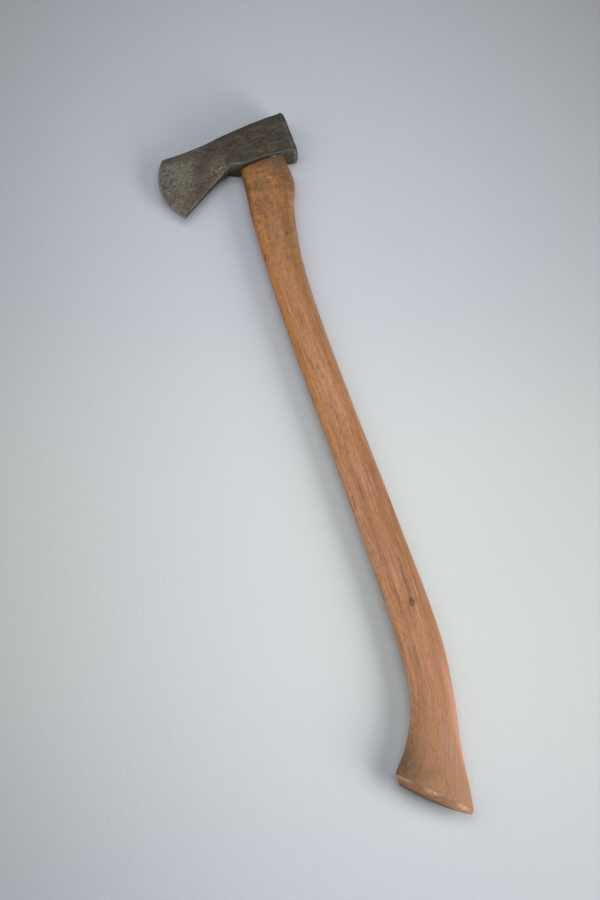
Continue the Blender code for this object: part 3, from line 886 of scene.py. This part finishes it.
haftTones = (  # share of the length, tone of the wood there
    (0.00, (154, 104, 57)),
    (0.13, (174, 122, 77)),
    (0.32, (195, 135, 92)),
    (0.43, (195, 134, 91)),
    (0.51, (180, 123, 85)),
    (0.58, (177, 121, 84)),
    (0.80, (179, 126, 89)),
    (1.00, (162, 116, 86)),
)
haftMarks = (  # place and reach in millimetres from the eye's mouth, strength, tone
    ((15.5, -12, 9), (8, 18, 8), 0.65, (102, 73, 56)),  # darker under the head
    ((-18, -10, 6), (3.6, 20, 10), 0.50, (110, 88, 50)),
    ((0, 0.8, 10), (26, 5.2, 12), 0.85, (90, 72, 44)),
    ((4, -5, 10), (20, 6, 10), 0.40, (96, 70, 42)),
    ((-11, -0.8, 9), (10, 1.3, 5), 0.80, (52, 40, 24)),  # painted shade along the shoulder, under the head's edge
    ((4, 0.6, 10), (10, 1.1, 4), 0.80, (52, 40, 24)),
    ((17, 1.5, 9), (6, 1.1, 5), 0.80, (52, 40, 24)),
    ((-20, -22, 4), (2.2, 30, 12), 0.50, (100, 80, 46)),
    ((-9.3, -23, 9), (8, 5, 8), 0.40, (110, 84, 52)),
    ((-12, -42, 9), (9, 6, 8), 0.35, (116, 86, 54)),
    ((4, -72.7, 10), (1.4, 1.7, 6), 0.80, (78, 54, 40)),
    ((1, -95, 10), (4, 2.8, 6), 0.40, (116, 88, 76)),
    ((3, -79.5, 10), (2.8, 4.2, 6), 0.35, (120, 94, 78)),
    ((-19.2, -88, 4), (0.7, 3, 10), 0.85, (92, 46, 26)),
    ((19.6, -293, 8), (1, 9, 8), 0.45, (116, 76, 50)),
    ((27.2, -324, 7), (0.9, 16, 8), 0.60, (110, 70, 44)),
    ((20.7, -387, 10), (1, 18, 6), 0.75, (98, 66, 52)),  # dark grain at the knot
    ((22.4, -393, 10), (0.6, 11, 6), 0.65, (104, 70, 54)),
    ((21.5, -406, 10), (2.4, 3.5, 6), 0.92, (66, 45, 38)),  # knot
    ((21.5, -406.2, 10), (0.6, 1.4, 6), 0.75, (150, 112, 90)),
    ((22.8, -420, 10), (0.7, 10, 6), 0.45, (136, 92, 66)),
    ((-4.6, -501, 9), (0.9, 0.9, 6), 0.70, (80, 54, 40)),
    ((-14, -523, 6), (13, 15, 12), 0.55, (114, 94, 62)),  # grime on the knob's heel
    ((-20, -526, 4), (8, 9, 12), 0.50, (94, 80, 54)),
    ((-6, -537, 8), (15, 4.5, 10), 0.45, (112, 90, 60)),
    ((31.8, -486, 6), (2.6, 30, 12), 0.50, (194, 138, 118)),  # rubbed back edge, with painted sheen
    ((28.6, -530, 6), (2.6, 32, 12), 0.52, (204, 140, 118)),
    ((18, -515, 9), (3, 12, 8), 0.35, (150, 120, 110)),
    ((10.5, 0.9, 11), (2.4, 0.5, 1.2), 0.80, (228, 206, 178)),  # chip in the shoulder
)
rimChips = (  # the same, for bruised places on the knob's rim
    ((-23.5, -534.5, 6), (10, 7, 12), 0.75, (238, 194, 162)),
    ((-3, -550.5, 8), (8, 5, 10), 0.90, (238, 194, 162)),
    ((18, -567, 6), (7, 4.4, 12), 0.60, (238, 194, 162)),
)
toeBruise = ((25, -571, 6), (3.6, 3.6, 12))  # place and reach
grainClouds = {  # stretch, detail, roughness, distortion; along the swaying grain
    "lines": ((820, 24, 820), 4.0, 0.68),
    "bands": ((260, 7, 260), 3.0),
    "pores": ((2300, 110, 2300), 2.0, 0.6),
}
haftClouds = {  # along the haft
    "patch": ((75, 22, 75), 3.0),
    "mottle": ((420, 300, 420), 4.0, 0.65),
    "smear": ((250, 150, 250), 4.0, 0.62, 0.3),
    "scratches": ((70, 1300, 70), 2.0),
    "soil": ((330, 70, 330), 4.0, 0.7),
}
haftLayers = (
    ((170, 138, 116), ("side", 0.64, 0.92, 0.0, 0.40), ("length", 0.45, 0.55, 1.0, 0.4)),  # painted sheen along the back edge, weaker towards the knob
    ((200, 143, 116), ("patch", 0.42, 0.66), ("offMiddle", 0.55, 0.20), "handled", 0.45),
    ((150, 94, 57), ("bands", 0.50, 0.70, 0.0, 0.35)),
    ((122, 76, 48), ("lines", 0.50, 0.72), "streak"),
    ((210, 154, 107), ("lines", 0.48, 0.28), "streak"),
    ((108, 70, 48), ("pores", 0.54, 0.70), "fleck"),
    ((134, 94, 66), ("mottle", 0.48, 0.68, 0.0, 0.35)),
    ((132, 98, 70), ("mottle", 0.44, 0.64), ("length", 0.88, 0.96, 0.0, 0.40)),  # blotched knob
    ((112, 88, 62), ("length", 0.16, 0.30), ("length", 0.60, 0.44), ("offMiddle", 0.80, 0.55),
     ("soil", 0.52, 0.66, 0.0, 0.55)),  # grime in the grain
    ((116, 82, 54), ("smear", 0.42, 0.68), "near", 0.76),  # dirt near the head
    ((198, 132, 72), ("smear", 0.50, 0.28), "near", 0.55),  # oil there
    ((100, 78, 50), ("mottle", 0.44, 0.72), "near", 0.32),
    ((220, 164, 104), ("scratches", 0.56, 0.68), ("length", 0.12, 0.02, 0.0, 0.45)),
)
freshTones = ((0.30, (222, 168, 132)), (0.50, (192, 142, 108)), (0.66, (146, 104, 78)))
endLayers = (
    ((112, 98, 68), ("past", 0.0047, 0.0054, 0.0, 0.75)),  # darker end grain past the chamfer
    ((146, 98, 80), "bruise", 0.60),
)


def haftFinish():
    material, tree, shader = newMaterial("oiledWood")
    place = eyePlace(tree)
    side, past = attribute(tree, "side"), attribute(tree, "past")
    straight = attribute(tree, "grain", "Vector")
    along = addNode(tree, "ShaderNodeSeparateXYZ", straight).outputs["Y"]
    sway = calc("MULTIPLY_ADD", cloud(straight, (24, 9, 24), 2.0), 0.008, -0.004)
    grain = vector("ADD", straight, addNode(tree, "ShaderNodeCombineXYZ", sway, 0.0, sway).outputs[0])
    length = calc("DIVIDE", along, haft["length"])
    handled = times(step(length, 0.10, 0.26), step(length, 0.92, 0.74))  # the streaked part
    fields = {"side": side, "past": past, "length": length, "handled": handled}
    fields.update(clouds(grain, grainClouds))
    fields.update(clouds(straight, haftClouds))
    lines, mottle = fields["lines"], fields["mottle"]
    fields["offMiddle"] = calc("ABSOLUTE", side)
    fields["streak"] = calc("MULTIPLY_ADD", handled, 0.45, 0.25)
    fields["fleck"] = calc("MULTIPLY_ADD", handled, 0.20, 0.30)
    fields["near"] = step(length, 0.26, 0.02)
    fields["bruise"] = spot(place, *toeBruise, 0.7)

    colour = ramp(length, haftTones)
    oilAndLight = blend(step(length, 0.28, 0.60), tone(224, 148, 76), tone(248, 178, 128))
    front = times(step(side, -0.40, -0.85, 0.0, 0.9), step(length, 0.96, 0.80))
    colour = blend(front, colour, oilAndLight)  # oil kept along the front edge, lightened there as painted light against its shading
    back = times(step(side, 0.10, 0.55), step(length, 0.72, 0.88, 1.0, 0.6))
    colour = blend(back, colour, (0.68, 0.70, 0.66, 1), "MULTIPLY")  # painted shade along the back, which the lamps light most
    colour = paintLayers(colour, fields, haftLayers)
    colour = paintMarks(colour, place, haftMarks, step(mottle, 0.30, 0.56, 0.5, 1.0))

    uneven = calc("MULTIPLY_ADD", mottle, 0.0040, calc("ADD", past, -0.0020))
    chamfer = times(step(uneven, -0.0006, 0.0006), step(mottle, 0.36, 0.56, 0.85, 0.6))
    colour = blend(chamfer, colour, ramp(lines, freshTones))
    ragged = calc("MULTIPLY_ADD", mottle, 0.006, calc("ADD", past, -0.003))
    rubbed = times(step(past, -0.0008, 0.0002), step(ragged, 0.0036, 0.0014))
    chipped = times(step(mottle, 0.34, 0.54, 0.2, 1.0), rubbed)
    colour = paintMarks(colour, place, rimChips, chipped)
    feed(paintLayers(colour, fields, endLayers), shader.inputs["Base Color"])

    feed(step(lines, 0.3, 0.7, 0.46, 0.60), shader.inputs["Roughness"])
    shader.inputs["Specular IOR Level"].default_value = haft["specular"]
    height = calc("SUBTRACT", times(lines, 0.6), times(fields["pores"], 0.4))
    addBump(shader, height, haft["bump"])
    return material


wood = haftFinish()
haftBlank = haftPiece(wood)
scar(haftBlank)
slots = [wedgeSlot(name) for name in ("kerf_wedge", "cross_wedge_front", "cross_wedge_rear")]
haftBlank = cut(haftBlank, *(("DIFFERENCE", tool) for tool in slots))
discard(*slots)
markHaft(haftBlank)
settle(haftBlank, haft["sharp"], wood, "oiled_wood", "haft")


# Wedges: the frame's own solids, with worn arrises and hammered tops

crossWedge = {"slot": "wedge_steel", "arris": 0.00030, "dent": 0.00014}
wedges = {
    "kerfWedge": {"node": "kerf_wedge", "slot": "wedge_wood", "arris": 0.00020, "dent": 0.00008},
    "crossWedgeFront": {"node": "cross_wedge_front", **crossWedge},
    "crossWedgeRear": {"node": "cross_wedge_rear", **crossWedge},
}
wedgeWork = {"spacing": (0.0007, 0.0010, 0.0007), "dentSize": 0.0013, "sharp": 30, "bump": 0.0002}


def wedgePiece(name, settings):
    mesh = wedgeCopy(settings["node"])
    bmesh.ops.dissolve_limit(mesh, angle_limit=radians(2), verts=mesh.verts, edges=mesh.edges)
    bevel = {"offset": settings["arris"], "segments": 2, "affect": "EDGES", "profile": 0.5}
    bmesh.ops.bevel(mesh, geom=mesh.edges[:], **bevel)
    low = [min(vert.co[i] for vert in mesh.verts) for i in range(3)]
    high = [max(vert.co[i] for vert in mesh.verts) for i in range(3)]
    for i, spacing in enumerate(wedgeWork["spacing"]):
        normal = Vector([float(i == j) for j in range(3)])
        for k in range(1, int((high[i] - low[i]) / spacing)):
            geometry = mesh.verts[:] + mesh.edges[:] + mesh.faces[:]
            place = normal * (low[i] + k * spacing)
            bmesh.ops.bisect_plane(mesh, geom=geometry, plane_co=place, plane_no=normal)
    mesh.normal_update()
    for vert in mesh.verts:
        vert.co -= vert.normal * settings["dent"] * abs(noise.noise(vert.co / wedgeWork["dentSize"]))
    return bmeshObject(name, mesh)


def wedgeFinish(slot):
    material, tree, shader = newMaterial(slot + "Finish")
    place = eyePlace(tree)
    if slot == "wedge_wood":
        rings = cloud(place, (260, 60, 1500), 3.0, 0.6)
        pores = cloud(place, (2600, 300, 2600), 2.0)
        colour = ramp(rings, ((0.3, (176, 134, 92)), (0.55, (200, 160, 112)), (0.75, (150, 106, 68))))
        colour = blend(step(pores, 0.55, 0.70, 0.0, 0.7), colour, tone(92, 62, 40))
        feed(step(rings, 0.3, 0.7, 0.55, 0.75), shader.inputs["Roughness"])
        height = calc("SUBTRACT", rings, pores)
    else:
        broad = cloud(place, (420, 420, 420), 4.0)
        fine = cloud(place, (1900, 1900, 1900), 3.0)
        colour = ramp(broad, ((0.3, (78, 70, 62)), (0.55, (102, 96, 88)), (0.75, (96, 70, 52))))
        colour = blend(step(fine, 0.5, 0.7, 0.0, 0.6), colour, tone(58, 48, 42))
        shader.inputs["Metallic"].default_value = 0.85
        feed(step(broad, 0.3, 0.7, 0.40, 0.62), shader.inputs["Roughness"])
        height = calc("MULTIPLY_ADD", fine, 0.4, broad)
    feed(colour, shader.inputs["Base Color"])
    addBump(shader, height, wedgeWork["bump"])
    return material


wedgeFinishes = {slot: wedgeFinish(slot) for slot in ("wedge_wood", "wedge_steel")}
for name, settings in wedges.items():
    slot, node = settings["slot"], settings["node"]
    settle(wedgePiece(name, settings), wedgeWork["sharp"], wedgeFinishes[slot], slot, node)


# Floor, light and camera

camera = {
    "place": (-0.0751, -0.2625, 1.0538),
    "target": (-0.0044, 0.0109, 0.0),
    "lens": 52,
}
pictureUp = Vector((0.2504, 0.9682, 0))
pictureRight = Vector((pictureUp.y, -pictureUp.x, 0))
warm, pale = (1.0, 0.985, 0.955), (0.965, 0.98, 1.0)
lights = {  # place to the right of, above and out of the picture's middle
    "key": {"place": (1.00, -0.70, 0.45), "size": 0.50, "power": 6.6, "colour": warm},
    "right": {"place": (0.80, -0.35, 0.45), "size": 0.50, "power": 4.2, "colour": warm},
    "side": {"place": (1.00, 0.00, 0.75), "size": 0.50, "power": 2.3, "colour": warm},
    "top": {"place": (0.10, 0.20, 1.00), "size": 0.80, "power": 4.15, "colour": pale},
    "left": {"place": (-0.50, 0.10, 0.70), "size": 0.90, "power": 2.95, "colour": pale},
}
lampAim = (0.05, -0.10, 0.0)
surroundings = {"colour": (0.92, 0.97, 1.0), "strength": 0.02}
floor = {
    "half": 6.0,
    "drop": 0.0002,
    "middle": tone(217, 223, 224),
    "margin": tone(141, 141, 135),
    "fibre": tone(186, 192, 196),
    "brightest": (-0.017, -0.120),  # painted pool of light, centred to the right of and above the picture's middle
    "squash": 0.38,
    "reach": 0.60,
    "cool": (0.925, 0.915, 1.0, 1),  # bluer past the head and the knob
    "coolMiddle": -0.10,
    "coolStart": 0.05,
    "coolEnd": 0.30,
    "roughness": 0.85,
    "bump": 0.0002,
}


def facing(place, target, up):
    back = (place - target).normalized()
    right = up.cross(back).normalized()
    turned = Matrix((right, back.cross(right), back)).transposed().to_4x4()
    return Matrix.Translation(place) @ turned


def makeCamera():
    data = bpy.data.cameras.new("camera")
    data.lens = camera["lens"]
    view = meshObject("camera", data)
    view.matrix_world = facing(Vector(camera["place"]), Vector(camera["target"]), pictureUp)
    scene.camera = view


def inPicture(right, up, out):
    return Vector(camera["target"]) + pictureRight * right + pictureUp * up + Vector((0, 0, out))


def makeLights():
    for name, settings in lights.items():
        data = bpy.data.lights.new(name, "AREA")
        data.size = settings["size"]
        data.energy = settings["power"]
        data.color = settings["colour"]
        lamp = meshObject(name, data)
        lamp.matrix_world = facing(inPicture(*settings["place"]), inPicture(*lampAim), pictureUp)
    world = bpy.data.worlds.new("surroundings")
    world.use_nodes = True
    sky = world.node_tree.nodes["Background"]
    sky.inputs["Color"].default_value = (*surroundings["colour"], 1)
    sky.inputs["Strength"].default_value = surroundings["strength"]
    scene.world = world


def makeFloor():
    half, z = floor["half"], -floor["drop"]
    data = bpy.data.meshes.new("floor")
    corners = [(-half, -half, z), (half, -half, z), (half, half, z), (-half, half, z)]
    data.from_pydata(corners, [], [(0, 1, 2, 3)])
    sheet = meshObject("floor", data)
    material, tree, shader = newMaterial("paleSheet")
    place = addNode(tree, "ShaderNodeTexCoord").outputs["Object"]
    fibre = cloud(place, (900, 900, 900), 3.0)
    offset = vector("SUBTRACT", place, camera["target"])
    right, up = (measure("DOT_PRODUCT", offset, way) for way in (pictureRight, pictureUp))
    aside = calc("SUBTRACT", right, floor["brightest"][0])
    away = times(calc("SUBTRACT", up, floor["brightest"][1]), floor["squash"])
    far = calc("SQRT", calc("ADD", times(aside, aside), times(away, away)))
    # painted pool of light: the colour darkens from the middle to the margin
    colour = blend(step(far, 0.0, floor["reach"]), floor["middle"], floor["margin"])
    beyond = calc("ABSOLUTE", calc("SUBTRACT", up, floor["coolMiddle"]))
    cooled = step(beyond, floor["coolStart"], floor["coolEnd"])
    colour = blend(cooled, colour, floor["cool"], "MULTIPLY")
    colour = blend(step(fibre, 0.35, 0.7, 0.0, 0.12), colour, floor["fibre"])
    feed(colour, shader.inputs["Base Color"])
    shader.inputs["Roughness"].default_value = floor["roughness"]
    addBump(shader, fibre, floor["bump"])
    data.materials.append(material)


makeFloor()
makeLights()
makeCamera()
print("floor, light and camera set")
